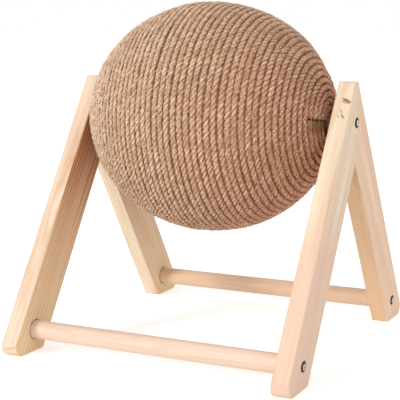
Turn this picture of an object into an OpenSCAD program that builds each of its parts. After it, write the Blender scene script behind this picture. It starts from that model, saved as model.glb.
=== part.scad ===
// Cat scratcher: a rope-wound ball that spins on a steel axle between two wooden A-frames.
// X runs along the axle, from the left frame to the right one. Y runs from front to back.
// Z is up, and the floor is z = 0. The origin is on the floor, below the middle of the stand.

/* [Stand] */
// Height of the tips of the A-frames above the floor
stand_h = 229.5; // [200:0.5:260]
// Spread of the feet from front to back, measured to the toes before they are rounded
foot_spread = 304; // [270:1:330]
// Thickness of the leg bars, along the axle
leg_t = 15; // [14:0.5:20]
// Width of the leg bars, seen from the side
leg_w = 40; // [34:0.5:46]
// Width of the flat across the tip of each A-frame
tip_flat = 7; // [5:0.5:12]
// Radius on the tip's front and back corners
tip_r = 3.5; // [1:0.5:4]
// Radius on the toe of each foot
toe_r = 8.5; // [3:0.5:9]
// Radius on the heel of each foot
heel_r = 5; // [1:0.5:6]
// Chamfer along the long edges of the leg bars
edge_ease = 0.8; // [0.3:0.1:1.5]

/* [Rails] */
// Diameter of the two round rails
rail_d = 16; // [12:0.5:18]
// Height of the rails' centres above the floor
rail_z = 18.5; // [14:0.5:40]
// Depth of the sockets that hold the rails' ends
rail_seat = 5; // [3:0.5:6]
// Chamfer on the rails' ends
rail_ease = 0.8; // [0.3:0.1:1.5]

/* [Ball] */
// Diameter of the wound ball, across the axle
ball_d = 200; // [180:1:205]
// Length of the wound ball, along the axle
ball_l = 221.6; // [200:0.2:235]
// Thickness of the rope layer
rope_d = 5; // [4:0.5:6]
// Loops of the rope, from one end of the ball to the other
rope_loops = 24; // [12:1:24]
// Free space between one loop of the rope and the next
rope_gap = 0.7; // [0.6:0.1:1.5]
// Wall of the two core shells
shell_wall = 3; // [2:0.25:5]
// Length of the tongue that joins the core shells
tongue_l = 5; // [3:0.5:8]

/* [Axle] */
// Diameter of the steel axle rod
rod_d = 8; // [7:0.5:10]
// Depth of the sockets that hold the rod's ends
rod_seat = 8; // [6:0.5:9]
// Radius of the collar on each end bush, which the rope is wound against
collar_r = 8.5; // [8:0.5:12]
// Length of the bush's barrel
barrel_l = 20; // [12:1:30]
// Wall of the bush's barrel
barrel_wall = 2.5; // [2:0.1:2.9]
// Length of the bosses that carry the tube in the core shells
boss_l = 18; // [8:1:30]
// Wall of those bosses
boss_wall = 2.2; // [1.5:0.1:4]
// Wall of the tube between the bushes
tube_wall = 1.5; // [1:0.25:2]
// Thickness of the washers between the ball and the legs
washer_t = 1.5; // [1:0.25:3]
// Radius of those washers
washer_r = 9; // [7:0.5:11]
// End float of the ball between the washers
end_float = 4.6; // [1:0.1:8]

/* [Fasteners] */
// Diameter of the screw heads
head_d = 7; // [6.5:0.5:8]
// Height of the screw heads
head_h = 2.2; // [1.5:0.1:2.2]
// Height of the domed part of the heads
dome_h = 0.8; // [0.4:0.1:1.2]
// Length of the crossed slots in the heads
slot_l = 4.4; // [3:0.2:5.4]
// Width of those slots
slot_w = 1.1; // [0.8:0.1:1.4]
// Depth of those slots
slot_depth = 1.4; // [0.8:0.1:1.4]
// Depth of the holes that the heads are partly sunk in
sink_depth = 1; // [0.6:0.1:3.5]
// Free space round a sunk head
sink_gap = 0.8; // [0.3:0.1:1.5]
// Thread diameter of the wood screws in the rails
wood_screw_d = 4; // [3.5:0.5:5]
// Length of the wood screws under the head
wood_screw_l = 35; // [25:1:45]
// Thread pitch of the wood screws
wood_pitch = 1.8; // [1.2:0.1:2.5]
// Thread diameter of the screws in the axle rod
rod_screw_d = 5; // [4:0.5:5.5]
// Length of those screws under the head
rod_screw_l = 18; // [14:1:24]
// Thread pitch of the screws in the axle rod
rod_pitch = 0.8; // [0.7:0.1:1.2]
// Depth of the wood screws' thread
wood_depth = 0.6; // [0.3:0.1:0.8]
// Length of the wood screws' point
wood_point = 4; // [2:0.5:6]
// Depth of the thread on the screws in the axle rod
rod_depth = 0.4; // [0.2:0.1:0.6]
// Length of those screws' point
rod_point = 1; // [0.5:0.5:2]
// Diameter of the wooden pins across the joint at the tip
pin_d = 6; // [5:0.5:7]
// Distance of the pins from the axle, above and below it
pin_offset = 17.8; // [13:0.2:20]
// Length of the upper pin
upper_pin_l = 16; // [12:1:18]
// Length of the lower pin
lower_pin_l = 30; // [20:1:36]

/* [Clearances] */
// Free space round a part that is glued or screwed in its hole
fit_gap = 0.05; // [0.02:0.01:0.1]
// Running clearance between the bushes and the rod
run_gap = 0.08; // [0.05:0.01:0.1]
// Free space between parts that slide past or lie on each other
slip_gap = 0.3; // [0.2:0.05:0.5]

/* [Hidden] */

LEFT = -1;
RIGHT = 1;
FRONT = -1;
REAR = 1;
round_fn = 64;
// Cuts run this far past the face that they open
past = 1;

wood = [0.93, 0.80, 0.64];
rope_tan = [0.72, 0.53, 0.40];
steel = [0.72, 0.73, 0.75];
bush_brown = [0.44, 0.32, 0.25];
core_brown = [0.49, 0.35, 0.25];
card = [0.62, 0.50, 0.38];

// The lean of the legs, and the places that follow from it
half_spread = foot_spread / 2;
lean = atan((half_spread - tip_flat / 2) / stand_h);
leg_run = leg_w / cos(lean);
crotch_z = (half_spread - leg_run) / tan(lean);
axle_z = (crotch_z + stand_h) / 2;
rail_y = half_spread - leg_run / 2 - rail_z * tan(lean);

// Half axes of the ball's outer surface, of the rope's middle, and of the core under it
ball_a = ball_l / 2;
ball_b = ball_d / 2;
rope_a = ball_a - rope_d / 2;
rope_b = ball_b - rope_d / 2;
rope_rings = 24;
// The rope's straight stretches dip this far below their ends
rope_dip = rope_b * (1 - cos(180 / rope_rings));
core_a = ball_a - rope_d - rope_dip - slip_gap;
core_b = ball_b - rope_d - rope_dip - slip_gap;

// Collar faces, washers and legs follow each other outwards from the ball's ends
face_x = ball_a * sqrt(1 - pow(collar_r / ball_b, 2)) + slip_gap;
inner_x = face_x + end_float / 2 + washer_t + fit_gap;
outer_x = inner_x + leg_t;
// The ball lies against the left washer, as far as its end float allows
ball_x = slip_gap - end_float / 2;

bore_r = rod_d / 2 + run_gap;
barrel_r = rod_d / 2 + barrel_wall;
tube_r = barrel_r + fit_gap + tube_wall;
boss_r = tube_r + fit_gap + boss_wall;
// The bosses end in the core's surface, and the collars sit on flats there, under the rope
boss_x = core_a * sqrt(1 - pow(boss_r / core_b, 2));
collar_x = boss_x + fit_gap;
sink_r = head_d / 2 + sink_gap;
head_x = outer_x - sink_depth;

function unit(v) = v / norm(v);

// The arc that rounds corner p between its neighbours, as a list of points
function round_corner(p, before, after, r, steps = 8) =
    let (u = unit(before - p),
        v = unit(after - p),
        half = acos(u * v) / 2,
        centre = p + unit(u + v) * r / sin(half),
        s = p + u * r / tan(half) - centre,
        e = p + v * r / tan(half) - centre,
        way = sign(s.x * e.y - s.y * e.x))
    [for (i = [0:steps])
        let (a = way * (180 - 2 * half) * i / steps)
        centre + [s.x * cos(a) - s.y * sin(a), s.x * sin(a) + s.y * cos(a)]];

// Side outline of the front leg, as y and z: toe, heel, crotch, mitred joint and tip
toe = [-half_spread, 0];
heel = [leg_run - half_spread, 0];
crotch = [0, crotch_z];
tip_inside = [0, stand_h];
tip_outside = [-tip_flat / 2, stand_h];
leg_outline = concat(
    round_corner(toe, tip_outside, heel, toe_r),
    round_corner(heel, toe, crotch, heel_r),
    [crotch, tip_inside],
    round_corner(tip_outside, tip_inside, toe, tip_r));

// A cylinder along X, from x0 to x1, at y and z
module x_cylinder(x0, x1, y, z, r, fn = round_fn) {
    translate([x0, y, z])
        rotate([0, 90, 0])
            cylinder(h = x1 - x0, r = r, $fn = fn);
}

// Cuts a chamfer along a leg's edge at x, from point p to point q
module edge_cut(x, p, q) {
    side = edge_ease * sqrt(2);
    reach = norm(q - p);
    translate([x, p.x, p.y])
        rotate([-atan2(q.x - p.x, q.y - p.y), 0, 0])
            rotate([0, 0, 45])
                translate([-side / 2, -side / 2, -past])
                    cube([side, side, reach + 2 * past]);
}

// The hole for a sunk screw head and its shank, from the outer face inwards
module screw_hole(y, z, shank_d) {
    x_cylinder(head_x, outer_x + past, y, z, sink_r);
    x_cylinder(inner_x, outer_x, y, z, shank_d / 2 + 2 * fit_gap);
}

// The front leg of the right frame, which the other legs mirror
module leg_bar() {
    difference() {
        translate([inner_x, 0, 0])
            rotate([90, 0, 90])
                linear_extrude(leg_t)
                    polygon(leg_outline);
        for (x = [inner_x, outer_x]) {
            edge_cut(x, toe, tip_outside);
            edge_cut(x, heel, crotch);
        }
        x_cylinder(inner_x - past, inner_x + rail_seat, -rail_y, rail_z, rail_d / 2 + fit_gap);
        screw_hole(-rail_y, rail_z, wood_screw_d);
        x_cylinder(inner_x - past, inner_x + rod_seat, 0, axle_z, rod_d / 2 + fit_gap);
        screw_hole(0, axle_z, rod_screw_d);
        tip_pins(pin_d / 2 + fit_gap, fit_gap);
    }
}

// Puts what is made for the right side on the side that is asked for
module on_side(side) {
    mirror([side == LEFT ? 1 : 0, 0, 0])
        children();
}

module leg(side, end) {
    color(wood)
        on_side(side)
            mirror([0, end == REAR ? 1 : 0, 0])
                leg_bar();
}

// The two pins across the glued joint; longer by extra at each end
module tip_pins(r, extra = 0) {
    for (pin = [[axle_z + pin_offset, upper_pin_l], [axle_z - pin_offset, lower_pin_l]])
        translate([inner_x + leg_t / 2, -pin[1] / 2 - extra, pin[0]])
            rotate([-90, 0, 0])
                cylinder(h = pin[1] + 2 * extra, r = r, $fn = round_fn);
}

module pin_pair(side) {
    color(wood)
        on_side(side)
            tip_pins(pin_d / 2);
}

// A round rail with chamfered ends, drilled at both for its screws
module rail(end) {
    half_l = inner_x + rail_seat - fit_gap;
    r = rail_d / 2;
    outline = [[0, -half_l], [r - rail_ease, -half_l], [r, rail_ease - half_l],
        [r, half_l - rail_ease], [r - rail_ease, half_l], [0, half_l]];
    color(wood)
        translate([0, end * rail_y, rail_z])
            difference() {
                rotate([0, 90, 0])
                    rotate_extrude($fn = round_fn)
                        polygon(outline);
                for (side = [LEFT, RIGHT])
                    on_side(side)
                        x_cylinder(head_x - wood_screw_l - fit_gap, half_l + past, 0, 0,
                            wood_screw_d / 2 + fit_gap);
            }
}

// Side outline of a threaded shank of length l, as radius and depth below the head
function thread_outline(r, l, pitch, depth, point_l) =
    let (turns = floor((l - point_l) / pitch))
    concat([[0, 0]],
        [for (i = [0:turns - 1])
            each [[r - depth, -i * pitch], [r, -(i + 0.5) * pitch]]],
        [[r - depth, -turns * pitch], [r - depth, point_l - l], [0, -l]]);

// The head's domed top, from its rim to its middle, as radius and height
function dome_outline(steps = 6) =
    [for (i = [0:steps])
        let (a = 90 * i / steps)
        [head_d / 2 * cos(a), head_h - dome_h + dome_h * sin(a)]];

// A pan-head screw along -Z, its head's underside at the origin
module screw(d, l, pitch, depth, point_l) {
    difference() {
        union() {
            rotate_extrude($fn = round_fn)
                polygon(thread_outline(d / 2, l, pitch, depth, point_l));
            rotate_extrude($fn = round_fn)
                polygon(concat([[0, 0], [head_d / 2, 0]], dome_outline()));
        }
        for (turn = [0, 90])
            rotate([0, 0, turn])
                translate([-slot_l / 2, -slot_w / 2, head_h - slot_depth])
                    cube([slot_l, slot_w, slot_depth + past]);
    }
}

// The two screws in the outer faces of the frames, at y and z
module screw_pair(y, z, d, l, pitch, depth, point_l) {
    color(steel)
        for (side = [LEFT, RIGHT])
            on_side(side)
                translate([head_x + fit_gap, y, z])
                    rotate([0, 90, 0])
                        screw(d, l, pitch, depth, point_l);
}

module rail_screws(end) {
    screw_pair(end * rail_y, rail_z, wood_screw_d, wood_screw_l, wood_pitch, wood_depth, wood_point);
}

module axle_screws() {
    screw_pair(0, axle_z, rod_screw_d, rod_screw_l, rod_pitch, rod_depth, rod_point);
}

module axle_rod() {
    rod_x = inner_x + rod_seat - fit_gap;
    color(steel)
        difference() {
            x_cylinder(-rod_x, rod_x, 0, axle_z, rod_d / 2);
            for (side = [LEFT, RIGHT])
                on_side(side)
                    x_cylinder(head_x - rod_screw_l - fit_gap, rod_x + past, 0, axle_z,
                        rod_screw_d / 2 + fit_gap);
        }
}

// A washer that lies against the leg
module washer(side) {
    seat_x = inner_x - fit_gap;
    color(steel)
        on_side(side)
            difference() {
                x_cylinder(seat_x - washer_t, seat_x, 0, axle_z, washer_r);
                x_cylinder(seat_x - washer_t - past, seat_x + past, 0, axle_z, bore_r);
            }
}

// A quarter of an ellipse's area, as radius and length along the axle
function half_ellipse(a, b, steps = 30) =
    concat([[0, 0]], [for (i = [0:steps])
        let (t = 90 * i / steps)
        [b * cos(t), a * sin(t)]]);

// Lays what is drawn along +Z on the ball's axis, towards a side
module on_ball(side) {
    translate([ball_x, 0, axle_z])
        on_side(side)
            rotate([0, 90, 0])
                children();
}

module core_shell(side) {
    inner_a = core_a - shell_wall;
    inner_b = core_b - shell_wall;
    joint_r = core_b - shell_wall / 2;
    color(core_brown)
        on_ball(side)
            difference() {
                union() {
                    difference() {
                        rotate_extrude($fn = round_fn)
                            polygon(half_ellipse(core_a, core_b));
                        rotate_extrude($fn = round_fn)
                            polygon(half_ellipse(inner_a, inner_b));
                    }
                    translate([0, 0, boss_x - boss_l])
                        cylinder(h = boss_l, r = boss_r, $fn = round_fn);
                    // The tongue of the left shell
                    if (side == LEFT)
                        translate([0, 0, -tongue_l])
                            difference() {
                                cylinder(h = tongue_l, r = joint_r - fit_gap, $fn = round_fn);
                                translate([0, 0, -past])
                                    cylinder(h = tongue_l + 2 * past, r = inner_b, $fn = round_fn);
                            }
                }
                translate([0, 0, boss_x - boss_l - past])
                    cylinder(h = boss_l + 2 * past, r = tube_r + fit_gap, $fn = round_fn);
                translate([0, 0, boss_x])
                    cylinder(h = rope_d, r = collar_r + slip_gap, $fn = round_fn);
                // The groove of the right shell
                if (side == RIGHT)
                    translate([0, 0, -past])
                        cylinder(h = tongue_l + past + fit_gap, r = joint_r, $fn = round_fn);
            }
}

module core_tube() {
    color(card)
        translate([ball_x, 0, 0])
            difference() {
                x_cylinder(-boss_x, boss_x, 0, axle_z, tube_r);
                x_cylinder(-boss_x - past, boss_x + past, 0, axle_z, barrel_r + fit_gap);
            }
}

module bush(side) {
    color(bush_brown)
        on_ball(side)
            difference() {
                union() {
                    translate([0, 0, collar_x])
                        cylinder(h = face_x - collar_x, r = collar_r, $fn = round_fn);
                    translate([0, 0, collar_x - barrel_l])
                        cylinder(h = barrel_l + fit_gap, r = barrel_r, $fn = round_fn);
                }
                translate([0, 0, collar_x - barrel_l - past])
                    cylinder(h = face_x - collar_x + barrel_l + 2 * past, r = bore_r, $fn = round_fn);
            }
}

// The rope: one flattened tube that winds from the left collar to the right one
rope_sides = 6;
rope_end_angle = asin((collar_r + rope_gap) / rope_b);
rope_pitch_angle = (180 - 2 * rope_end_angle) / (rope_loops + 1);
rope_first_angle = rope_end_angle + rope_pitch_angle / 2;
rope_count = rope_loops * rope_rings;
// The rope's two ends run straight for its own thickness, or for a ring's step if that is more
rope_end_step = 2 * rope_b * sin(rope_first_angle) * sin(180 / rope_rings);
rope_tail = max(1, rope_d / rope_end_step);

// Six points round the rope at ring i, in the ball's own frame
function rope_ring(i) =
    let (t = rope_first_angle + rope_pitch_angle * i / rope_rings,
        turn = 360 * i / rope_rings,
        out = [0, cos(turn), sin(turn)],
        middle = [-rope_a * cos(t), 0, 0] + rope_b * sin(t) * out,
        along = [rope_a * sin(t), 0, 0] + rope_b * cos(t) * out,
        normal = unit([-cos(t) / rope_a, 0, 0] + sin(t) / rope_b * out),
        half_w = (norm(along) * rope_pitch_angle * PI / 180 - rope_gap) / 2)
    [for (k = [0:rope_sides - 1])
        let (a = 360 * k / rope_sides)
        middle + unit(along) * half_w * cos(a) + normal * rope_d / 2 * sin(a) / sin(60)];

rope_points = concat([rope_ring(1 - rope_tail)],
    [for (i = [1:rope_count - 1]) rope_ring(i)],
    [rope_ring(rope_count - 1 + rope_tail)]);

// The least distance between a point of one loop and a point of the next
rope_least_gap = min([for (i = [0:rope_count - rope_rings - 1], p = rope_points[i],
    j = [-1:1], q = rope_points[i + rope_rings + j]) norm(p - q)]);
echo("Least gap between the rope's loops, in mm", rope_least_gap);

module sisal_rope() {
    flat = [for (ring = rope_points, p = ring) p];
    last = rope_count * rope_sides;
    walls = [for (i = [0:rope_count - 1], k = [0:rope_sides - 1])
        let (a = i * rope_sides + k, b = i * rope_sides + (k + 1) % rope_sides)
        each [[a, b, b + rope_sides], [a, b + rope_sides, a + rope_sides]]];
    first_cap = [for (k = [1:rope_sides - 2]) [0, k + 1, k]];
    last_cap = [for (k = [1:rope_sides - 2]) [last, last + k, last + k + 1]];
    color(rope_tan)
        translate([ball_x, 0, axle_z])
            polyhedron(flat, concat(walls, first_cap, last_cap));
}

leg(LEFT, FRONT);  // left_front_leg
leg(LEFT, REAR);  // left_rear_leg
leg(RIGHT, FRONT);  // right_front_leg
leg(RIGHT, REAR);  // right_rear_leg
pin_pair(LEFT);  // left_tip_pins
pin_pair(RIGHT);  // right_tip_pins
rail(FRONT);  // front_rail
rail(REAR);  // rear_rail
rail_screws(FRONT);  // front_rail_screws
rail_screws(REAR);  // rear_rail_screws
axle_rod();
axle_screws();
washer(LEFT);  // left_washer
washer(RIGHT);  // right_washer
core_shell(LEFT);  // left_core_shell
core_shell(RIGHT);  // right_core_shell
core_tube();
bush(LEFT);  // left_bush
bush(RIGHT);  // right_bush
sisal_rope();
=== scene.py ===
import math
import random

import bmesh
import bpy
import numpy as np
from mathutils import Euler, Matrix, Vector, noise


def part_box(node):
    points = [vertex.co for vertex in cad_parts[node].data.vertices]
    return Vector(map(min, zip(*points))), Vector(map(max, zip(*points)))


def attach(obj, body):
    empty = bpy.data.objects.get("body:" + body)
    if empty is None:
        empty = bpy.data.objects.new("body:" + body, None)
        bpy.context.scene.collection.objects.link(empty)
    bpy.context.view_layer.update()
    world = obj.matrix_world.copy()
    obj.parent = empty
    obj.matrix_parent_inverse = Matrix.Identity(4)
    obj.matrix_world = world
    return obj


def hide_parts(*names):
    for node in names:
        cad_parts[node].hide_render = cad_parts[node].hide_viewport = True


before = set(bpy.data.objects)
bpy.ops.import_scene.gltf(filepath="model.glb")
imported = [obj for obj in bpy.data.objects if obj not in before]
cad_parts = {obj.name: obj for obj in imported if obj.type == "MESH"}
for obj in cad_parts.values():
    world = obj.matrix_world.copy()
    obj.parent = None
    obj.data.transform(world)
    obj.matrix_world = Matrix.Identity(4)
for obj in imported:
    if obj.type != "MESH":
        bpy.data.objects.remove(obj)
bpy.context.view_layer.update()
MM = 0.001
FULL_TURN = 2 * math.pi
# Beyond every piece of the object
FAR = 1.0

# The winding
BALL_LENGTH = 221.6 * MM
ROPE_WIDTH = 5.0 * MM
ROPE_TURNS = 55
ROPE_STEP = 1.0 * MM
ROPE_SECTIONS = 8
HUB_CLEARANCE = 0.4 * MM
WINDING_SAMPLES = 40001
# Half the distance from turn to turn. The material measures in it how far aside a point lies
HALF_PITCH = 2.66 * MM
# Near the hubs the turns are circles, joined by a step over this share of a turn
STEP_SHARE = 0.13
STEP_TURNS = 12

# Random waves that move the rope aside and outward: size, rate and seed
PLACE_DRIFT = (0.80 * MM, 14, 1)
TURN_DRIFTS = ((0.50 * MM, 0.9, 2), (0.34 * MM, 3.1, 3), (0.24 * MM, 8.3, 25))
PLACE_LIFT = (0.30 * MM, 30, 4)
TURN_LIFT = (0.30 * MM, 1.4, 5)
# The drift fades out towards the hubs, between these shares of the ball's radius
DRIFT_FADE = (0.14, 0.3)
# Each seed moves on through the noise by this step
SEED_STEP = (3.7, 1.9, 5.3)

# The three strands of the rope
STRAND_COUNT = 3
STRAND_SIDES_LEVEL = 2
STRAND_RADIUS = 1.50 * MM
STRAND_OUT = 1.17 * MM
STRAND_ASIDE = 1.58 * MM
STRAND_LAY = 14.4 * MM
STRAND_FULLNESS = 0.97
STRAND_FLATNESS = 0.95
YARN_LAY = 17.0 * MM
# How far apart along the yarn the strands' fibre patterns start
YARN_SHIFT = 7.3

# Random waves in the strands: size, rate and seed. Where each strand has its own, the seed counts up
WOBBLES = ((1.2, 22, 6), (0.5, 70, 12))
FLAT_WAVE = (0.5, 40, 13)
OWN_WOBBLE = (0.35, 60, 14)
SHAKE_OUT = (0.32 * MM, 210, 17)
SHAKE_ASIDE = (0.32 * MM, 170, 20)
SWELL = (0.16, 90, 7)

# A slit across the turns at the right end of the ball, where the rope ends, and glue below it
SLIT_ANGLE = math.radians(172.8)
SLIT_REACH = (8 * MM, 37 * MM)
SLIT_HALF_WIDTH = 0.65 * MM
SLIT_EDGE = 0.95 * MM
SLIT_TURNS = 6
SLIT_THINNING = 0.85
GLUE_REACH = (14 * MM, 33 * MM)
GLUE_WIDTH = 12 * MM
GLUE_SINK = 0.4 * MM
GLUE_FLATTENING = 0.5
GLUE_SWELL = 0.12
MARK_EDGE = 2 * MM

# The glued layer that shows brown between the turns, from one end's glued rings to the other's
BED_HEIGHT = 1.0 * MM
BED_THICKNESS = 2.0 * MM
BED_START = 37 * MM
BED_RINGS = 49
BED_STEPS = 96

# Loose fibres on the rope. They rise less near the axle, where the legs are close
FIBRE_COUNT = 3600
FIBRE_SEED = 7
FIBRE_RADIUS = 0.07 * MM
FIBRE_SIDES_LEVEL = 0
FIBRE_POINTS = 5
FIBRE_TIP = 0.35
FIBRE_LEAN = math.radians(65)
FIBRE_FOOT = 0.3 * MM
FIBRE_LEAST_RISE = 0.3 * MM
FIBRE_RISE = 2.6 * MM
LOW_FIBRE_RISE = 0.8 * MM
LOW_FIBRE_REACH = 55 * MM
FIBRE_RUN = (3 * MM, 11 * MM)
FIBRE_BEND = 2.5 * MM
FIBRE_ARCH = 0.6
# Points at the rope's ends from which no fibre starts
FIBRE_MARGIN = 20

# The legs' lean from the vertical, and the middle of a leg, from the middle of the stand
LEG_LEAN = math.radians(32.905)
LEG_MIDDLE = (122 * MM, 63.5 * MM, 100 * MM)
LEG_THICKNESS = 15 * MM
LEG_WIDTH = 40 * MM
# How near to a face of a leg counts as on it
FACE_DEPTH = 0.3 * MM

# Turns that lay the grain, which runs up without one, along a rail and along a pin
ALONG_X = (0, math.pi / 2, 0)
ALONG_Y = (math.pi / 2, 0, 0)

# Rounding of the bars' edges
EDGE_ROUNDING = 0.45 * MM
MERGE_DISTANCE = 0.001 * MM
JOINT_DISTANCE = 0.05 * MM
FLAT_ANGLE = math.radians(1)
SHARP_ANGLE = math.radians(28)
SMALL_FACE = 60 * MM * MM

# Most of the noise lies between these values
NOISE_SPAN = (0.3, 0.7)

# Pine grain: noise scales across and along a bar, and how far the noise pushes the rings
BOW_SCALE = (26, 26, 5)
BOW_REACH = 16 * MM
RIPPLE_SCALE = (45, 45, 30)
RIPPLE_REACH = 1.2 * MM
WEIGHT_SCALE = (60, 60, 6)
WOOD_FIBRE_SCALE = (700, 700, 14)
TONE_SCALE = (75, 75, 5)
# A ring darkens by this power of its share and fades from this share on. Some rings are stronger
LATE_POWER = 3.5
LATE_END = 0.86
LATE_STRENGTH = (0.35, 1.3)

# Tints of the legs, from the height where they start to the height where they end. The first two paint shade
# and the ball's brown reflected light on the faces towards the ball
BALL_SHADE_HEIGHTS = (20 * MM, 200 * MM)
GOLD_HEIGHTS = (20 * MM, 140 * MM)
BLUSH_HEIGHTS = (95 * MM, 130 * MM)

# Dark rims round sockets and sunk screws: a dark joint and painted shade in the gaps. The screws' rims sit
# towards the back, beyond the heads
SINK_RADIUS = 4.3 * MM
SINK_RIM = 0.35 * MM
SINK_RIM_SHIFT = 1.7 * MM
SINK_RIM_DEPTH = 4 * MM
SOCKET_RIM = 0.8 * MM
SOCKET_RIM_DEPTH = 2 * MM
# Painted shade on the screw heads, outside a bright middle of this radius
HEAD_BRIGHT_RADIUS = 1.9 * MM
HEAD_FADE = 0.6 * MM

# Small brown marks on the front of the right front leg, in mm: centre, slant in degrees, half sizes, strength
KNOT_MARKS = (
    ((125.1, -13.2, 214.7), 26, (4.9, 3, 1.4), 0.85),
    ((124.8, -14.2, 213.4), 18, (4.2, 3, 1.6), 0.50),
    ((122.4, -19.0, 206.0), 70, (3.6, 3, 0.9), 0.45),
    ((124.6, -21.6, 202.2), 50, (2.8, 3, 1.2), 0.65),
    ((120.7, -21.4, 202.0), 20, (1.0, 3, 0.9), 0.70))

# Sisal: noise scales across and along the yarn
FINE_SCALE = (2600, 2600, 150)
COARSE_SCALE = (900, 900, 70)
TUFT_SCALE = (420, 420, 260)
SPECKLE_SCALE = (1400, 1400, 1000)
GAP_PATCH_SCALE = (230, 230, 200)
BATCH_SCALE = 26.0
# Between which places along the axle the rope turns red with painted shade, pale with painted light, and its
# painted gap shade softer. The middle is 0
RED_SHADE_SPAN = (-30 * MM, 100 * MM)
LIT_SPAN = (-50 * MM, -110 * MM)
SOFT_SPAN = (20 * MM, 100 * MM)
# How far the red painted shade lies further to the right for each step up
RED_SLANT = 0.25

# Noise scales of the other materials
CLUMP_SCALE = 700.0
LOOSE_SCALE = 300.0
SMEAR_SCALE = 900.0
MOULD_SCALE = 1500.0

# Relief of the surfaces: its strength and its depth
PINE_RELIEF = (0.22, 0.2 * MM)
SISAL_RELIEF = (0.8, 0.3 * MM)
BED_RELIEF = (0.5, 0.3 * MM)
MOULD_RELIEF = (0.2, 0.05 * MM)

# Camera, solved from the straight edges in the photograph
CAMERA_PLACE = (0.4229, -0.8904, 0.2774)
CAMERA_YAW = 0.4570
CAMERA_PITCH = 0.1566
CAMERA_LENS = 101.08
CAMERA_REACH = 100
SENSOR = 36.0

# Light: where the suns shine to, their strengths and their sizes in degrees
KEY_SUN = ((0.46, 0.80, -0.40), 1.54, 16)
FILL_SUN = ((-0.9, 0.25, -0.3), 0.42, 60)
SUN_COLOR = (1.0, 0.98, 0.96)
SKY_COLOR = (0.98, 0.98, 1.0, 1)
SKY_LIGHT = 0.665
FLOOR_SIZE = 60
FLOOR_GLOW = 0.15
FLOOR_GLOW_SEEN = 0.45
WHITE = (1, 1, 1, 1)

# Colours, as linear values
PINE_CREAM = (0.93, 0.69, 0.50)
PINE_PINK = (0.92, 0.70, 0.55)
PINE_DULL = (0.86, 0.62, 0.43)
PINE_LIGHT = (0.93, 0.74, 0.56)
PINE_IVORY = (0.91, 0.75, 0.565)
PINE_BLUSH = (0.79, 0.50, 0.38)
PINE_LATE = (0.62, 0.33, 0.17)
PINE_FRONT_SHADE = (0.66, 0.42, 0.22)
PINE_BALL_SHADE = (0.46, 0.145, 0.028)
PINE_GOLD = (0.84, 0.56, 0.20)
PINE_BROWN = (0.26, 0.115, 0.055)
HOLE_SHADE_BROWN = (0.045, 0.025, 0.02)
SISAL_CROWN = (0.70, 0.47, 0.295)
SISAL_PALE = (0.97, 0.80, 0.63)
SISAL_SHADED_PALE = (0.94, 0.67, 0.50)
SISAL_DARK = (0.32, 0.145, 0.066)
SISAL_GROOVE = (0.34, 0.16, 0.08)
SISAL_DEEP = (0.13, 0.048, 0.02)
SISAL_RED_SHADE = (0.50, 0.185, 0.083)
GLUE_BROWN = (0.21, 0.105, 0.05)
ZINC = (0.95, 0.94, 0.92)
HEAD_EDGE_SHADE = (0.07, 0.045, 0.035)
BUSH_BROWN = (0.30, 0.16, 0.09)
CORE_BROWN = (0.24, 0.12, 0.06)
CARD_BROWN = (0.34, 0.22, 0.12)

# The darker tone beside a colour, as a share of it
PINE_SHADE = 0.86
ZINC_SHADE = 0.8
MOULD_SHADE = 0.7
SLIT_SHADE = 0.2

# Finishes: the shader's constant inputs, and roughness from the smoothest places to the roughest
PINE_FINISH = {"Specular IOR Level": 0.2}
SISAL_FINISH = {"Roughness": 0.7, "Specular IOR Level": 0.15, "Sheen Weight": 0.05}
BED_FINISH = {"Specular IOR Level": 0.15}
FLOOR_FINISH = {"Base Color": (0.9, 0.9, 0.9, 1), "Roughness": 0.9, "Specular IOR Level": 0.1,
                "Emission Color": WHITE}
PINE_ROUGHNESS = (0.50, 0.66)
BED_ROUGHNESS = (0.6, 0.8)
LOOSE_ROUGHNESS = (0.5, 0.7)
ZINC_ROUGHNESS = (0.2, 0.38)
MOULD_ROUGHNESS = (0.45, 0.6)

scene = bpy.context.scene


def color_value(color):
    """A colour with its alpha, or the socket that it comes from."""
    return color if isinstance(color, bpy.types.NodeSocket) else (*color, 1.0)


def shaded(color, share):
    """A colour made darker to a share of itself."""
    return tuple(part * share for part in color)


def set_inputs(tree, node, inputs):
    """Gives a node's inputs their values. A value that is a socket is linked."""
    for name, value in inputs.items():
        if isinstance(value, bpy.types.NodeSocket):
            tree.links.new(value, node.inputs[name])
        else:
            node.inputs[name].default_value = value


def add_node(tree, kind, inputs=None, **settings):
    """Adds a node. Settings are its properties, which come before its inputs."""
    node = tree.nodes.new(kind)
    for name, value in settings.items():
        setattr(node, name, value)
    set_inputs(tree, node, inputs or {})
    return node


def math_node(tree, operation, *values):
    return add_node(tree, "ShaderNodeMath", dict(enumerate(values)), operation=operation).outputs[0]


def product(tree, first, *others):
    for other in others:
        first = math_node(tree, "MULTIPLY", first, other)
    return first


def map_range(tree, value, low, high, to_low=0.0, to_high=1.0):
    inputs = {"Value": value, "From Min": low, "From Max": high, "To Min": to_low, "To Max": to_high}
    return add_node(tree, "ShaderNodeMapRange", inputs).outputs["Result"]


def spread(tree, value, low=0.0, high=1.0):
    """Noise stretched to lie from low to high."""
    return map_range(tree, value, *NOISE_SPAN, low, high)


def mix_color(tree, factor, one, other):
    inputs = {0: factor, 6: color_value(one), 7: color_value(other)}
    return add_node(tree, "ShaderNodeMix", inputs, data_type="RGBA").outputs[2]


def layered(tree, base, *layers):
    """Mixes colours over a base one after the other. A layer is a mask and its colour."""
    for mask, color in layers:
        base = mix_color(tree, mask, base, color)
    return base


def scaled(tree, vector, scale):
    return add_node(tree, "ShaderNodeMapping", {"Vector": vector, "Scale": scale}).outputs["Vector"]


def placed(tree, vector, location, turn=(0, 0, 0), size=(1, 1, 1)):
    """Coordinates seen from a place that is turned, in units of its size."""
    inputs = {"Vector": vector, "Location": location, "Rotation": turn, "Scale": size}
    return add_node(tree, "ShaderNodeMapping", inputs, vector_type="TEXTURE").outputs["Vector"]


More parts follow.
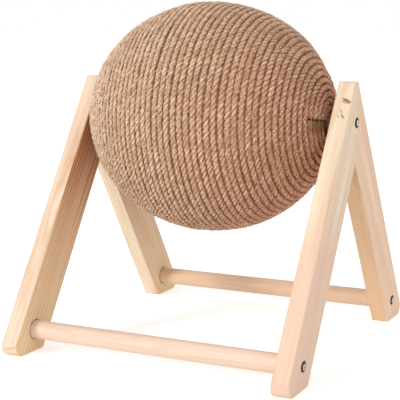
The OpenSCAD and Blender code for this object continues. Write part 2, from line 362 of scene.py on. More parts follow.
def noise_value(tree, vector, scale, detail=2.0, roughness=0.5):
    """Noise with one scale, or with three to stretch it."""
    if isinstance(scale, tuple):
        vector, scale = scaled(tree, vector, scale), 1.0
    inputs = {"Vector": vector, "Scale": scale, "Detail": detail, "Roughness": roughness}
    return add_node(tree, "ShaderNodeTexNoise", inputs).outputs["Fac"]


def length_of(tree, vector):
    return add_node(tree, "ShaderNodeVectorMath", {0: vector}, operation="LENGTH").outputs["Value"]


def distance_from(tree, vector, centre, counted):
    """The distance from a centre, with each direction counted by its share."""
    away = add_node(tree, "ShaderNodeVectorMath", {0: vector, 1: centre}, operation="SUBTRACT")
    return length_of(tree, scaled(tree, away.outputs["Vector"], counted))


def parts_of(tree, vector):
    """The three numbers of a vector."""
    return add_node(tree, "ShaderNodeSeparateXYZ", {"Vector": vector}).outputs


def attribute(tree, name, output="Vector"):
    return add_node(tree, "ShaderNodeAttribute", attribute_name=name).outputs[output]


def bump(tree, height, relief):
    strength, depth = relief
    inputs = {"Height": height, "Strength": strength, "Distance": depth}
    return add_node(tree, "ShaderNodeBump", inputs).outputs["Normal"]


def is_ray(tree, *kinds):
    """Whether a ray is of one of the kinds."""
    path = add_node(tree, "ShaderNodeLightPath").outputs
    found = path[kinds[0]]
    for kind in kinds[1:]:
        found = math_node(tree, "MAXIMUM", found, path[kind])
    return found


def new_material(name):
    """A material with its node tree, its Principled shader and the Object coordinates."""
    material = bpy.data.materials.new(name)
    material.use_nodes = True
    tree = material.node_tree
    place = add_node(tree, "ShaderNodeTexCoord").outputs["Object"]
    return material, tree, tree.nodes["Principled BSDF"], place


def new_group(name, inputs, outputs):
    """A shader node group with the named sockets, and its input and output nodes' sockets."""
    tree = bpy.data.node_groups.new(name, "ShaderNodeTree")
    for socket_name, kind in inputs.items():
        tree.interface.new_socket(socket_name, in_out="INPUT", socket_type="NodeSocket" + kind)
    for socket_name, kind in outputs.items():
        tree.interface.new_socket(socket_name, in_out="OUTPUT", socket_type="NodeSocket" + kind)
    return tree, tree.nodes.new("NodeGroupInput").outputs, tree.nodes.new("NodeGroupOutput").inputs


def build_pine_grain():
    """Growth rings round a pith beside the bar, fine fibre along it, and slow changes of tone."""
    tree, given, result = new_group(
        "pine_grain", {"Vector": "Vector", "Pith": "Vector", "Ring Spacing": "Float"},
        {"Late Wood": "Float", "Fibre": "Float", "Tone": "Float"})
    vector = given["Vector"]
    bow = noise_value(tree, vector, BOW_SCALE, detail=3.0)
    ripple = noise_value(tree, vector, RIPPLE_SCALE)
    radius = distance_from(tree, vector, given["Pith"], (1, 1, 0))
    radius = math_node(tree, "ADD", radius, product(tree, bow, BOW_REACH))
    radius = math_node(tree, "ADD", radius, product(tree, ripple, RIPPLE_REACH))
    ring = math_node(tree, "FRACT", math_node(tree, "DIVIDE", radius, given["Ring Spacing"]))
    rise = math_node(tree, "POWER", ring, LATE_POWER)
    fade = map_range(tree, ring, LATE_END, 1.0, 1.0, 0.0)
    late = product(tree, rise, fade, spread(tree, noise_value(tree, vector, WEIGHT_SCALE), *LATE_STRENGTH))
    fibre = noise_value(tree, vector, WOOD_FIBRE_SCALE, detail=3.0, roughness=0.6)
    tone = noise_value(tree, vector, TONE_SCALE, detail=4.0, roughness=0.65)
    for name, value in (("Late Wood", late), ("Fibre", fibre), ("Tone", tone)):
        tree.links.new(value, result[name])
    return tree


def build_drilled_edge():
    """A mask of what lies within a radius of an axis along X, between two distances from the middle."""
    numbers = ("Radius", "Edge", "Inner", "Outer")
    tree, given, result = new_group(
        "drilled_edge", {"Vector": "Vector", "Axis": "Vector", **dict.fromkeys(numbers, "Float")},
        {"Mask": "Float"})
    radius = distance_from(tree, given["Vector"], given["Axis"], (0, 1, 1))
    past_radius = math_node(tree, "SUBTRACT", radius, given["Radius"])
    inside = map_range(tree, math_node(tree, "DIVIDE", past_radius, given["Edge"]), 0.4, 1.0, 1.0, 0.0)
    across = math_node(tree, "ABSOLUTE", parts_of(tree, given["Vector"])["X"])
    after = math_node(tree, "GREATER_THAN", across, given["Inner"])
    before = math_node(tree, "LESS_THAN", across, given["Outer"])
    tree.links.new(product(tree, inside, product(tree, after, before)), result["Mask"])
    return tree


def edge_mask(tree, place, axis, radius, edge, inner=0.0, outer=FAR):
    inputs = {"Vector": place, "Axis": axis, "Radius": radius, "Edge": edge, "Inner": inner, "Outer": outer}
    return add_node(tree, "ShaderNodeGroup", inputs, node_tree=drilled_edge).outputs["Mask"]


def toasted(tree, place, grain, base, low, high):
    """Paints shade and the ball's brown reflected light on the face towards the ball, golden by low at the foot
    to brown by high at the tip, in streaks.
    """
    across, _, height = parts_of(tree, place)
    rise = math_node(tree, "POWER", map_range(tree, height, *BALL_SHADE_HEIGHTS), 2.0)
    amount = map_range(tree, rise, 0.0, 1.0, low, high)
    tint = mix_color(tree, map_range(tree, height, *GOLD_HEIGHTS), PINE_GOLD, PINE_BALL_SHADE)
    streak = map_range(tree, grain["Late Wood"], 0.0, 0.5, 0.75, 1.5)
    inner = math_node(tree, "LESS_THAN", math_node(tree, "ABSOLUTE", across), leg_inner + FACE_DEPTH)
    return mix_color(tree, product(tree, amount, streak, inner), base, tint)


def pine(name, middle, turn, pith, spacing=4 * MM, color=PINE_CREAM, contrast=0.5, toast=None, tan=0.0,
         blush=0.0, add_rim_shade_and_marks=None):
    """Sanded pine whose grain runs along a bar. The inner face can get painted shade and the ball's brown
    reflected light, the front painted shade, and the foot a blush.
    """
    material, tree, shader, place = new_material(name)
    along = placed(tree, place, middle, turn)
    inputs = {"Vector": along, "Pith": pith, "Ring Spacing": spacing}
    grain = add_node(tree, "ShaderNodeGroup", inputs, node_tree=pine_grain).outputs
    late = product(tree, grain["Late Wood"], contrast)
    base = layered(
        tree, color,
        (map_range(tree, grain["Tone"], 0.35, 0.65, 0.0, 0.7), shaded(color, PINE_SHADE)),
        (late, PINE_LATE),
        (map_range(tree, grain["Fibre"], 0.42, 0.75, 0.0, 0.5 * contrast), PINE_LATE))
    # Painted shade and the ball's reflected light on the face towards it
    if toast:
        base = toasted(tree, place, grain, base, *toast)
    # Painted shade on the front face
    if tan:
        front = math_node(tree, "LESS_THAN", parts_of(tree, along)["Y"], FACE_DEPTH - LEG_WIDTH / 2)
        base = mix_color(tree, product(tree, front, tan), base, PINE_FRONT_SHADE)
    if blush:
        low = map_range(tree, parts_of(tree, place)["Z"], *BLUSH_HEIGHTS, blush, 0.0)
        base = mix_color(tree, low, base, PINE_BLUSH)
    if add_rim_shade_and_marks:
        base = add_rim_shade_and_marks(tree, place, along, base)
    height = math_node(tree, "SUBTRACT", grain["Fibre"], product(tree, late, 0.5))
    set_inputs(tree, shader, {
        "Base Color": base,
        "Roughness": spread(tree, grain["Fibre"], *PINE_ROUGHNESS),
        "Normal": bump(tree, height, PINE_RELIEF),
        **PINE_FINISH})
    return material


def knot_marks(tree, along, base, middle, turn):
    """The small brown marks below the tip, seen in the bar's own coordinates."""
    bar = Euler(turn).to_matrix().inverted()
    for centre, slant, size, strength in KNOT_MARKS:
        spot = bar @ (Vector(centre) * MM - Vector(middle))
        seen = placed(tree, along, spot, (0, math.radians(slant), 0), tuple(part * MM for part in size))
        mask = map_range(tree, length_of(tree, seen), 0.7, 1.05, strength, 0.0)
        base = mix_color(tree, mask, base, PINE_BROWN)
    return base


def leg_material(node, side, end, **look):
    """Pine along a leg, with dark rims at the rail's socket and at the sunk screws: a dark joint and painted
    shade of the gaps.

    Side is -1 for left and 1 for right; end is -1 for front and 1 for rear.
    """
    middle = (side * LEG_MIDDLE[0], end * LEG_MIDDLE[1], LEG_MIDDLE[2])
    turn = (end * LEG_LEAN, 0, 0)
    rail_axis = (0, end * rail_place.y, rail_place.z)

    def add_rim_shade_and_marks(tree, place, along, base):
        # Painted shade: dark rims in the gap round the rail and round the sunk screws
        socket_end = leg_inner + SOCKET_RIM_DEPTH
        socket = edge_mask(tree, place, rail_axis, rail_radius, SOCKET_RIM, outer=socket_end)
        base = mix_color(tree, socket, base, HOLE_SHADE_BROWN)
        for axis in (rail_axis, ball_centre):
            shifted = (0, axis[1] + SINK_RIM_SHIFT, axis[2])
            sink = edge_mask(tree, place, shifted, SINK_RADIUS, SINK_RIM, leg_outer - SINK_RIM_DEPTH)
            base = mix_color(tree, sink, base, HOLE_SHADE_BROWN)
        if node == "right_front_leg":
            base = knot_marks(tree, along, base, middle, turn)
        return base

    return pine("pine_" + node, middle, turn, add_rim_shade_and_marks=add_rim_shade_and_marks, **look)


def sisal():
    """Laid sisal: fibres along the yarn, with painted highlights on the crowns of the strands and painted shade
    between them.
    """
    material, tree, shader, place = new_material("sisal_fibre")
    across, _, up = parts_of(tree, place)
    yarn = attribute(tree, "yarn")
    crown, slit, glue = parts_of(tree, attribute(tree, "marks"))
    side_reach = attribute(tree, "side_reach", "Fac")

    # Patterns of the fibres
    fine = noise_value(tree, yarn, FINE_SCALE, detail=3.0, roughness=0.6)
    coarse = noise_value(tree, yarn, COARSE_SCALE)
    fibre = math_node(tree, "ADD", product(tree, fine, 0.55), product(tree, coarse, 0.45))
    tuft = noise_value(tree, yarn, TUFT_SCALE)
    speckle = noise_value(tree, yarn, SPECKLE_SCALE, roughness=0.7)

    # Painted shade makes the ball redder and darker to the right and below, and painted light makes it paler to
    # the left
    raised = product(tree, math_node(tree, "SUBTRACT", up, ball_centre[2]), RED_SLANT)
    red_shade = map_range(tree, math_node(tree, "SUBTRACT", across, raised), *RED_SHADE_SPAN, 0.0, 0.92)
    painted_light = map_range(tree, across, *LIT_SPAN, 0.0, 0.55)
    batch = map_range(tree, noise_value(tree, place, BATCH_SCALE, detail=3.0), 0.40, 0.65, 0.0, 0.25)
    bright = mix_color(tree, red_shade, SISAL_PALE, SISAL_SHADED_PALE)

    # Painted shade darkens the gaps between the turns in patches, less to the right
    gap_patches = map_range(tree, noise_value(tree, yarn, GAP_PATCH_SCALE, detail=3.0), 0.45, 0.60, 0.0, 0.95)
    softer = map_range(tree, across, *SOFT_SPAN, 1.0, 0.68)
    gap_shade = product(tree, map_range(tree, side_reach, 0.54, 0.90), gap_patches, softer)
    # Painted highlight on the crowns of the strands, in tufts
    pale = product(tree, map_range(tree, crown, 0.82, 1.08), map_range(tree, tuft, 0.4, 0.6), 0.3)

    base = layered(
        tree, SISAL_CROWN,
        # Red in random batches, and red painted shade to the right and below
        (math_node(tree, "MAXIMUM", red_shade, batch), SISAL_RED_SHADE),
        (painted_light, SISAL_PALE),
        (map_range(tree, tuft, 0.5, 0.35, 0.0, 0.5), SISAL_DARK),
        (map_range(tree, fibre, 0.5, 0.66, 0.0, 0.85), bright),
        (map_range(tree, fibre, 0.48, 0.34, 0.0, 0.8), SISAL_DARK),
        (map_range(tree, speckle, 0.50, 0.36, 0.0, 1.0), SISAL_DARK),
        (map_range(tree, speckle, 0.54, 0.66, 0.0, 0.9), bright),
        # Painted shade low between the strands
        (map_range(tree, crown, 0.74, 0.20, 0.0, 0.85), SISAL_GROOVE),
        (gap_shade, SISAL_DEEP),
        (pale, bright),
        (product(tree, glue, 0.85), GLUE_BROWN),
        # Painted shade in the slit, where the strands thin
        (slit, shaded(SISAL_GROOVE, SLIT_SHADE)))
    set_inputs(tree, shader, {"Base Color": base, "Normal": bump(tree, fibre, SISAL_RELIEF), **SISAL_FINISH})
    return material


def glued_bed():
    """Brown glue with fibre in it."""
    material, tree, shader, place = new_material("glued_bed")
    clumps = noise_value(tree, place, CLUMP_SCALE, detail=3.0)
    set_inputs(tree, shader, {
        "Base Color": mix_color(tree, spread(tree, clumps), SISAL_DEEP, SISAL_GROOVE),
        "Roughness": spread(tree, clumps, *BED_ROUGHNESS),
        "Normal": bump(tree, clumps, BED_RELIEF),
        **BED_FINISH})
    return material


def loose_sisal():
    """Single fibres, paler than the rope."""
    material, tree, shader, place = new_material("loose_sisal")
    tone = noise_value(tree, place, LOOSE_SCALE, detail=1.0)
    set_inputs(tree, shader, {
        "Base Color": mix_color(tree, map_range(tree, tone, 0.35, 0.65), SISAL_PALE, SISAL_CROWN),
        "Roughness": spread(tree, tone, *LOOSE_ROUGHNESS)})
    return material


def zinc_plate(name, head_axis=None):
    """Bright zinc on turned steel, a little uneven. A head on the given axis has painted shade on its edge."""
    material, tree, shader, place = new_material(name)
    smear = noise_value(tree, place, SMEAR_SCALE)
    look = {"Base Color": mix_color(tree, smear, ZINC, shaded(ZINC, ZINC_SHADE)),
            "Metallic": 1.0,
            "Roughness": spread(tree, smear, *ZINC_ROUGHNESS)}
    if head_axis is not None:
        # Painted shade on the head's edge, dull and dark outside its bright middle
        bright = edge_mask(tree, place, head_axis, HEAD_BRIGHT_RADIUS, HEAD_FADE)
        look["Base Color"] = mix_color(tree, bright, HEAD_EDGE_SHADE, look["Base Color"])
        look["Metallic"] = bright
        look["Specular IOR Level"] = map_range(tree, bright, 0.0, 1.0, 0.1, 0.5)
    set_inputs(tree, shader, look)
    return material


def moulded(name, color):
    """Plain moulded or pressed stuff with a fine even grain."""
    material, tree, shader, place = new_material(name)
    grain = noise_value(tree, place, MOULD_SCALE)
    set_inputs(tree, shader, {
        "Base Color": mix_color(tree, grain, color, shaded(color, MOULD_SHADE)),
        "Roughness": spread(tree, grain, *MOULD_ROUGHNESS),
        "Normal": bump(tree, grain, MOULD_RELIEF)})
    return material


def smooth_step(value, low, high):
    share = np.clip((value - low) / (high - low), 0, 1)
    return share * share * (3 - 2 * share)


def between(value, start, full, fade, end):
    """Rises to 1 from start to full, and falls to 0 from fade to end."""
    return smooth_step(value, start, full) * (1 - smooth_step(value, fade, end))


def running_total(steps):
    return np.concatenate([[0.0], np.cumsum(steps)])


def unit_rows(rows):
    return rows / np.linalg.norm(rows, axis=1, keepdims=True)


def wander(places, rate, seed):
    """Smooth random values from -1 to 1 at places, which are numbers or points."""
    shift = Vector([seed * step for step in SEED_STEP])
    if places.ndim == 1:
        return np.array([noise.noise(Vector((place * rate, 0, 0)) + shift) for place in places])
    return np.array([noise.noise(Vector(place) * rate + shift) for place in places])


def waves(places, *kinds):
    """The sum of random waves, each with its size, rate and seed."""
    return sum(size * wander(places, rate, seed) for size, rate, seed in kinds)


def strand_wave(lengths, kind, strand):
    """A random wave of a strand's own."""
    size, rate, seed = kind
    return size * wander(lengths, rate, seed + strand)


def winding():
    """The even spiral from hub to hub: places from pole to pole, and turns round the axle."""
    first = math.asin((hub_radius + HUB_CLEARANCE + ROPE_WIDTH / 2) / half_width)
    angle = np.linspace(first, math.pi - first, WINDING_SAMPLES)
    steps = np.hypot(np.diff(-half_length * np.cos(angle)), np.diff(half_width * np.sin(angle)))
    meridian = running_total(steps)
    pitch = meridian[-1] / ROPE_TURNS
    turns = meridian / pitch
    share = turns - np.floor(turns)
    # The last place ends the last turn and starts no other
    share[-1] = 1.0
    # The step comes at the end of a turn near the left hub, and at its start near the right one
    near_left = 1 - smooth_step(turns, 0, STEP_TURNS)
    near_right = smooth_step(turns, ROPE_TURNS - STEP_TURNS, ROPE_TURNS)
    held = smooth_step(share, 1 - STEP_SHARE, 1) - share
    early = smooth_step(share, 0, STEP_SHARE) - share
    shifted = meridian + pitch * (near_left * held + near_right * early)
    return np.interp(shifted, meridian, angle), turns * FULL_TURN


def on_ball(angle, turn):
    """Points on the middle of the rope layer, in the ball's own frame."""
    return np.column_stack([-half_length * np.cos(angle), half_width * np.sin(angle) * np.cos(turn),
                            half_width * np.sin(angle) * np.sin(turn)])


def glued_marks(spots):
    """How far points lie in the slit, and in the glued place beside it."""
    out = np.array([math.cos(SLIT_ANGLE), math.sin(SLIT_ANGLE)])
    reach = spots[:, 1:] @ out
    below = spots[:, 1:] @ np.array([-out[1], out[0]])
    right = spots[:, 0] > 0
    start, end = SLIT_REACH
    slit = 1 - smooth_step(np.abs(below), SLIT_HALF_WIDTH, SLIT_EDGE)
    slit *= between(reach, start - MARK_EDGE, start, end - 2 * MARK_EDGE, end)
    start, end = GLUE_REACH
    glue = between(reach, start - MARK_EDGE, start + MARK_EDGE, end - MARK_EDGE, end + MARK_EDGE)
    glue *= between(below, 0, MARK_EDGE, GLUE_WIDTH - 2 * MARK_EDGE, GLUE_WIDTH + MARK_EDGE)
    return slit * right, glue * right


def rope_line():
    """The rope's middle, its outward and sideways directions, and its marks, in steps along it."""
    angle, turn = winding()
    lengths = running_total(np.linalg.norm(np.diff(on_ball(angle, turn), axis=0), axis=1))
    slit_turns = FULL_TURN * (ROPE_TURNS - np.arange(SLIT_TURNS, 0, -1)) + SLIT_ANGLE
    slit_lengths = np.interp(slit_turns, turn, lengths)
    slit_edges = np.array([-SLIT_EDGE, -SLIT_HALF_WIDTH, SLIT_HALF_WIDTH, SLIT_EDGE])
    even_places = np.arange(0, slit_lengths[-1], ROPE_STEP)
    places = np.concatenate([even_places, np.add.outer(slit_lengths, slit_edges).ravel()])
    places = np.sort(places[places <= slit_lengths[-1]])
    angle = np.interp(places, lengths, angle)
    turn = np.interp(places, lengths, turn)
    spots = on_ball(angle, turn)
    slit, glue = glued_marks(spots)
    drift = waves(spots, PLACE_DRIFT) + waves(turn, *TURN_DRIFTS)
    drift *= smooth_step(np.sin(angle), *DRIFT_FADE)
    lift = waves(spots, PLACE_LIFT) + waves(turn, TURN_LIFT) - glue * GLUE_SINK
    spots = on_ball(angle + drift / half_width, turn)
    out = unit_rows(spots / np.array([half_length, half_width, half_width]) ** 2)
    spots += out * lift[:, None]
    ahead = unit_rows(np.gradient(spots, axis=0))
    out = unit_rows(out - ahead * np.sum(out * ahead, axis=1, keepdims=True))
    return places, spots + np.array(ball_centre), out, np.cross(ahead, out), slit, glue


def strand_lines(lengths, middle, out, side, glue):
    """The middle of each strand, wound round the rope's middle."""
    wobble = waves(lengths, *WOBBLES)
    flat = (1 - GLUE_FLATTENING * glue) * (STRAND_FLATNESS + waves(middle, FLAT_WAVE))
    for strand in range(STRAND_COUNT):
        turn = FULL_TURN * (lengths / STRAND_LAY + strand / STRAND_COUNT) + wobble
        turn += strand_wave(lengths, OWN_WOBBLE, strand)
        outward = STRAND_OUT * np.cos(turn) * flat + strand_wave(lengths, SHAKE_OUT, strand)
        aside = STRAND_ASIDE * np.sin(turn) + strand_wave(lengths, SHAKE_ASIDE, strand)
        yield middle + outward[:, None] * out + aside[:, None] * side


def tube_mesh(name, lines, swells, radius, sides_level):
    """Round tubes along lines, as one open mesh whose points follow lines, rings and sides."""
    curve = bpy.data.curves.new(name, "CURVE")
    curve.dimensions = "3D"
    curve.bevel_depth = radius
    curve.bevel_resolution = sides_level
    curve.use_fill_caps = False
    for line, swell in zip(lines, swells):
        spline = curve.splines.new("POLY")
        spline.points.add(len(line) - 1)
        spline.points.foreach_set("co", np.column_stack([line, np.ones(len(line))]).ravel())
        spline.points.foreach_set("radius", swell)
    holder = bpy.data.objects.new(name, curve)
    scene.collection.objects.link(holder)
    mesh = bpy.data.meshes.new_from_object(holder.evaluated_get(bpy.context.evaluated_depsgraph_get()))
    bpy.data.objects.remove(holder)
    bpy.data.curves.remove(curve)
    return mesh


def close_ends(mesh):
    """Fills each tube's two open ends, with a sharp edge round them."""
    form = bmesh.new()
    form.from_mesh(mesh)
    rims = [edge for edge in form.edges if edge.is_boundary]
    bmesh.ops.holes_fill(form, edges=rims, sides=0)
    for edge in rims:
        edge.smooth = False
    form.to_mesh(mesh)
    form.free()


def add_attribute(mesh, name, values, kind="FLOAT_VECTOR", field="vector"):
    """Keeps values on the mesh's points for its material."""
    data = mesh.attributes.new(name, kind, "POINT").data
    data.foreach_set(field, values.astype(np.float32).ravel())


def add_piece(mesh, name, material, body):
    mesh.name = name
    mesh.materials.clear()
    mesh.materials.append(material)
    piece = bpy.data.objects.new(name, mesh)
    scene.collection.objects.link(piece)
    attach(piece, body)
    return piece


def per_ring(values):
    """Values of the rings, spread over the strands before them and the sides after them."""
    return values[None, :, None]


def share_along(rows, directions):
    """How far points lie along their ring's direction."""
    return np.sum(rows * per_ring(directions), axis=3)


def stacked(*parts):
    """The given numbers of each point, as one vector."""
    return np.stack(np.broadcast_arrays(*parts), axis=-1)


def build_rope_section(name, material, lengths, middle, out, side, slit, glue):
    """Three strands, with their yarn coordinates and marks for the material."""
    lines = list(strand_lines(lengths, middle, out, side, glue))
    swells = [(STRAND_FULLNESS + strand_wave(lengths + strand, SWELL, strand) + GLUE_SWELL * glue)
              * (1 - SLIT_THINNING * slit) for strand in range(STRAND_COUNT)]
    mesh = tube_mesh(name, lines, swells, STRAND_RADIUS, STRAND_SIDES_LEVEL)
    points = np.empty(len(mesh.vertices) * 3)
    mesh.vertices.foreach_get("co", points)
    points = points.reshape(STRAND_COUNT, len(lengths), -1, 3)

    from_line = points - np.array(lines)[:, :, None]
    round_strand = np.arctan2(share_along(from_line, side), share_along(from_line, out))
    round_yarn = round_strand - FULL_TURN / YARN_LAY * per_ring(lengths)
    number = np.arange(STRAND_COUNT)[:, None, None]
    yarn = stacked(STRAND_RADIUS * np.cos(round_yarn), STRAND_RADIUS * np.sin(round_yarn),
                   per_ring(lengths) + YARN_SHIFT * number)

    from_middle = points - per_ring(middle)
    crown = share_along(from_middle, out) / (ROPE_WIDTH / 2)
    side_reach = np.abs(share_along(from_middle, side)) / HALF_PITCH
    add_attribute(mesh, "yarn", yarn)
    add_attribute(mesh, "marks", stacked(crown, per_ring(slit), per_ring(glue)))
    add_attribute(mesh, "side_reach", side_reach, "FLOAT", "value")
    close_ends(mesh)
    return add_piece(mesh, name, material, "ball")


def build_rope(material):
    """The rope in sections that meet end to end. Gives its middle and its outward and side directions."""
    line = rope_line()
    cuts = np.linspace(0, len(line[0]) - 1, ROPE_SECTIONS + 1).astype(int)
    for number, (low, high) in enumerate(zip(cuts[:-1], cuts[1:]), 1):
        piece = build_rope_section(f"rope_section_{number}", material, *(part[low:high + 1] for part in line))
        if number == 1:
            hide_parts("sisal_rope")
    return line[1:4]


def bed_profile(height, angles):
    """Points at a height on the middle of the rope layer, from pole to pole."""
    return [Vector((-(half_length + height) * math.cos(angle), 0, (half_width + height) * math.sin(angle)))
            + Vector(ball_centre) for angle in angles]


def build_bed(material):
    """The layer of glue and fibre that the rope is laid in, as a closed shell round the core."""
    start = math.asin(BED_START / half_width)
    angles = np.linspace(start, math.pi - start, BED_RINGS)
    profile = bed_profile(BED_HEIGHT, angles) + bed_profile(BED_HEIGHT - BED_THICKNESS, angles[::-1])
    form = bmesh.new()
    rim = [form.verts.new(point) for point in profile]
    ring = [form.edges.new(pair) for pair in zip(rim, rim[1:] + rim[:1])]
    bmesh.ops.spin(form, geom=rim + ring, cent=ball_centre, axis=(1, 0, 0), angle=FULL_TURN,
                   steps=BED_STEPS, use_merge=True)
    bmesh.ops.recalc_face_normals(form, faces=form.faces)
    for face in form.faces:
        face.smooth = True
    mesh = bpy.data.meshes.new("rope_bed")
    form.to_mesh(mesh)
    form.free()
    add_piece(mesh, "rope_bed", material, "ball")


def build_loose_fibres(material, middle, out, side):
    """Short fibres that stand off the rope, steeper at the foot than at the tip."""
    rng = random.Random(FIBRE_SEED)
    ahead = np.cross(out, side)
    share = np.linspace(0, 1, FIBRE_POINTS)[:, None]
    rise = (1 + FIBRE_ARCH) * share - FIBRE_ARCH * share ** 3
    fibres = []
    for _ in range(FIBRE_COUNT):
        start = rng.randrange(FIBRE_MARGIN, len(middle) - FIBRE_MARGIN)
        lean = rng.uniform(-FIBRE_LEAN, FIBRE_LEAN)
        outward = math.cos(lean) * out[start] + math.sin(lean) * side[start]
        foot = middle[start] + outward * (ROPE_WIDTH / 2 - FIBRE_FOOT)
        from_axle = math.hypot(*(middle[start] - np.array(ball_centre))[1:])
        most = LOW_FIBRE_RISE if from_axle < LOW_FIBRE_REACH else FIBRE_RISE
        height = most * rng.random() ** 2 + FIBRE_LEAST_RISE
        run = rng.uniform(*FIBRE_RUN) * rng.choice((-1, 1))
        bend = rng.uniform(-FIBRE_BEND, FIBRE_BEND)
        aside = np.cross(ahead[start], outward)
        fibres.append(foot + ahead[start] * run * share + outward * height * rise + aside * bend * share ** 2)
    tapers = [np.linspace(1, FIBRE_TIP, FIBRE_POINTS)] * FIBRE_COUNT
    mesh = tube_mesh("loose_fibres", fibres, tapers, FIBRE_RADIUS, FIBRE_SIDES_LEVEL)
    close_ends(mesh)
    add_piece(mesh, "loose_fibres", material, "ball")


def paint(node, material):
    """Gives a carried-over node its material."""
    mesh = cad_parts[node].data
    mesh.materials.clear()
    mesh.materials.append(material)


def is_rounded(edge):
    """Whether an edge is sharp and doesn't lie in the glued joint of two legs, the plane y = 0."""
    glued = all(abs(vert.co.y) < JOINT_DISTANCE for vert in edge.verts)
    return edge.calc_face_angle(0) > SHARP_ANGLE and not glued


def rounded_bar(node, material):
    """A merged copy of a wooden bar with its sharp edges rounded, in place of the bar."""
    form = bmesh.new()
    form.from_mesh(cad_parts[node].data)
    bmesh.ops.remove_doubles(form, verts=form.verts, dist=MERGE_DISTANCE)
    bmesh.ops.dissolve_limit(form, angle_limit=FLAT_ANGLE, verts=form.verts, edges=form.edges)
    sharp = [edge for edge in form.edges if is_rounded(edge)]
    bmesh.ops.bevel(form, geom=sharp, offset=EDGE_ROUNDING, affect="EDGES", segments=2, profile=0.5,
                    material=-1, clamp_overlap=True)
    for face in form.faces:
        face.smooth = face.calc_area() < SMALL_FACE
    mesh = bpy.data.meshes.new(node + "_rounded")
    form.to_mesh(mesh)
    form.free()
    piece = add_piece(mesh, node + "_rounded", material, "stand")
    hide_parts(node)


def dress_leg(node, side, end, **look):
    rounded_bar(node, leg_material(node, side, end, **look))


def make_camera():
    data = bpy.data.cameras.new("camera")
    data.lens = CAMERA_LENS
    data.sensor_width = SENSOR
    data.clip_end = CAMERA_REACH
    camera = bpy.data.objects.new("camera", data)
    camera.location = CAMERA_PLACE
    camera.rotation_euler = (math.pi / 2 - CAMERA_PITCH, 0, CAMERA_YAW)
    scene.collection.objects.link(camera)
    scene.camera = camera


def make_sun(name, towards, strength, size):
    data = bpy.data.lights.new(name, "SUN")
    data.energy = strength
    data.color = SUN_COLOR
    data.angle = math.radians(size)
    sun = bpy.data.objects.new(name, data)
    sun.rotation_euler = Vector(towards).to_track_quat("-Z", "Y").to_euler()
    scene.collection.objects.link(sun)


def make_world():
    """White for the camera and for reflections, and soft light for the rest."""
    world = bpy.data.worlds.new("studio")
    scene.world = world
    world.use_nodes = True
    tree = world.node_tree
    tree.nodes.clear()
    seen = is_ray(tree, "Is Camera Ray", "Is Glossy Ray", "Is Transmission Ray")
    soft = add_node(tree, "ShaderNodeBackground", {"Color": SKY_COLOR, "Strength": SKY_LIGHT})
    plain = add_node(tree, "ShaderNodeBackground", {"Color": WHITE, "Strength": 1.0})
    mix = add_node(tree, "ShaderNodeMixShader", {0: seen, 1: soft.outputs[0], 2: plain.outputs[0]})
    add_node(tree, "ShaderNodeOutputWorld", {"Surface": mix.outputs[0]})


def make_floor():
    """A pale floor that the camera sees as white, with the object's shadow kept faint."""
    bpy.ops.mesh.primitive_plane_add(size=FLOOR_SIZE)
    floor = bpy.context.object
    floor.name = "floor"
    material, tree, shader, _ = new_material("floor_white")
    seen = is_ray(tree, "Is Camera Ray", "Is Glossy Ray")
    glow = map_range(tree, seen, 0, 1, FLOOR_GLOW, FLOOR_GLOW_SEEN)
    set_inputs(tree, shader, {"Emission Strength": glow, **FLOOR_FINISH})
    floor.data.materials.append(material)


def box_middle(node):
    low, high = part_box(node)
    return (low + high) / 2


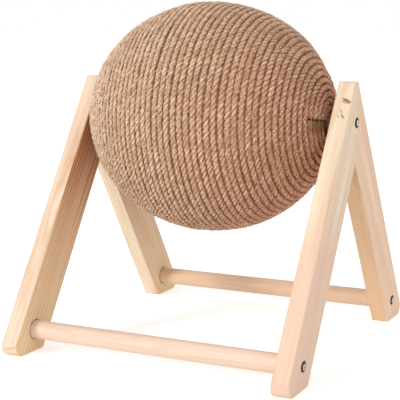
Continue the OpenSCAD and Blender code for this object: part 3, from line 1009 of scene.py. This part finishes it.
# The ball's centre, and half sizes of the layer with the rope's middle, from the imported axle, bushes and rope
rope_low, rope_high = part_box("sisal_rope")
left_low, left_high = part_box("left_bush")
axle = box_middle("axle_rod")
ball_centre = ((left_low.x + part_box("right_bush")[1].x) / 2, axle.y, axle.z)
ball_radius = (rope_high.z - rope_low.z) / 2
half_length = (BALL_LENGTH - ROPE_WIDTH) / 2
half_width = ball_radius - ROPE_WIDTH / 2
hub_radius = (left_high.z - left_low.z) / 2
rail_low, rail_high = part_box("front_rail")
rail_radius = (rail_high.z - rail_low.z) / 2
rail_place = box_middle("rear_rail")
leg_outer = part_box("right_front_leg")[1].x
leg_inner = leg_outer - LEG_THICKNESS

scene.view_settings.view_transform = "Standard"
make_camera()
make_world()
make_sun("key", *KEY_SUN)
make_sun("fill", *FILL_SUN)
make_floor()

pine_grain = build_pine_grain()
drilled_edge = build_drilled_edge()
dress_leg("left_front_leg", -1, -1, pith=(12 * MM, 88 * MM, 0), spacing=4.6 * MM, color=PINE_LIGHT,
          contrast=1.0, toast=(0.4, 0.98))
dress_leg("left_rear_leg", -1, 1, pith=(10 * MM, -95 * MM, 0), spacing=4.2 * MM, color=PINE_IVORY,
          contrast=0.7, toast=(0.36, 0.4))
dress_leg("right_front_leg", 1, -1, pith=(-8 * MM, 92 * MM, 0), spacing=4.8 * MM, color=PINE_IVORY,
          contrast=0.7, blush=0.55)
dress_leg("right_rear_leg", 1, 1, pith=(-12 * MM, 85 * MM, 0), spacing=3.8 * MM, contrast=0.8, tan=0.6)
for rail, color in (("front_rail", PINE_PINK), ("rear_rail", PINE_DULL)):
    rounded_bar(rail, pine("pine_" + rail, box_middle(rail), ALONG_X, pith=(20 * MM, 30 * MM, 0),
                           spacing=3 * MM, color=color, contrast=0.28))
for pins in ("left_tip_pins", "right_tip_pins"):
    paint(pins, pine("pine_" + pins, box_middle(pins), ALONG_Y, pith=(20 * MM, 20 * MM, 0)))

metal = zinc_plate("zinc_steel")
for turned in ("axle_rod", "left_washer", "right_washer"):
    paint(turned, metal)
for pair in ("front_rail_screws", "rear_rail_screws", "axle_screws"):
    paint(pair, zinc_plate(pair + "_zinc", box_middle(pair)))
bush_plastic = moulded("bush_plastic", BUSH_BROWN)
core_plastic = moulded("core_plastic", CORE_BROWN)
for hand in ("left", "right"):
    paint(hand + "_bush", bush_plastic)
    paint(hand + "_core_shell", core_plastic)
paint("core_tube", moulded("tube_card", CARD_BROWN))
build_bed(glued_bed())
rope_middle, rope_out, rope_side = build_rope(sisal())
build_loose_fibres(loose_sisal(), rope_middle, rope_out, rope_side)
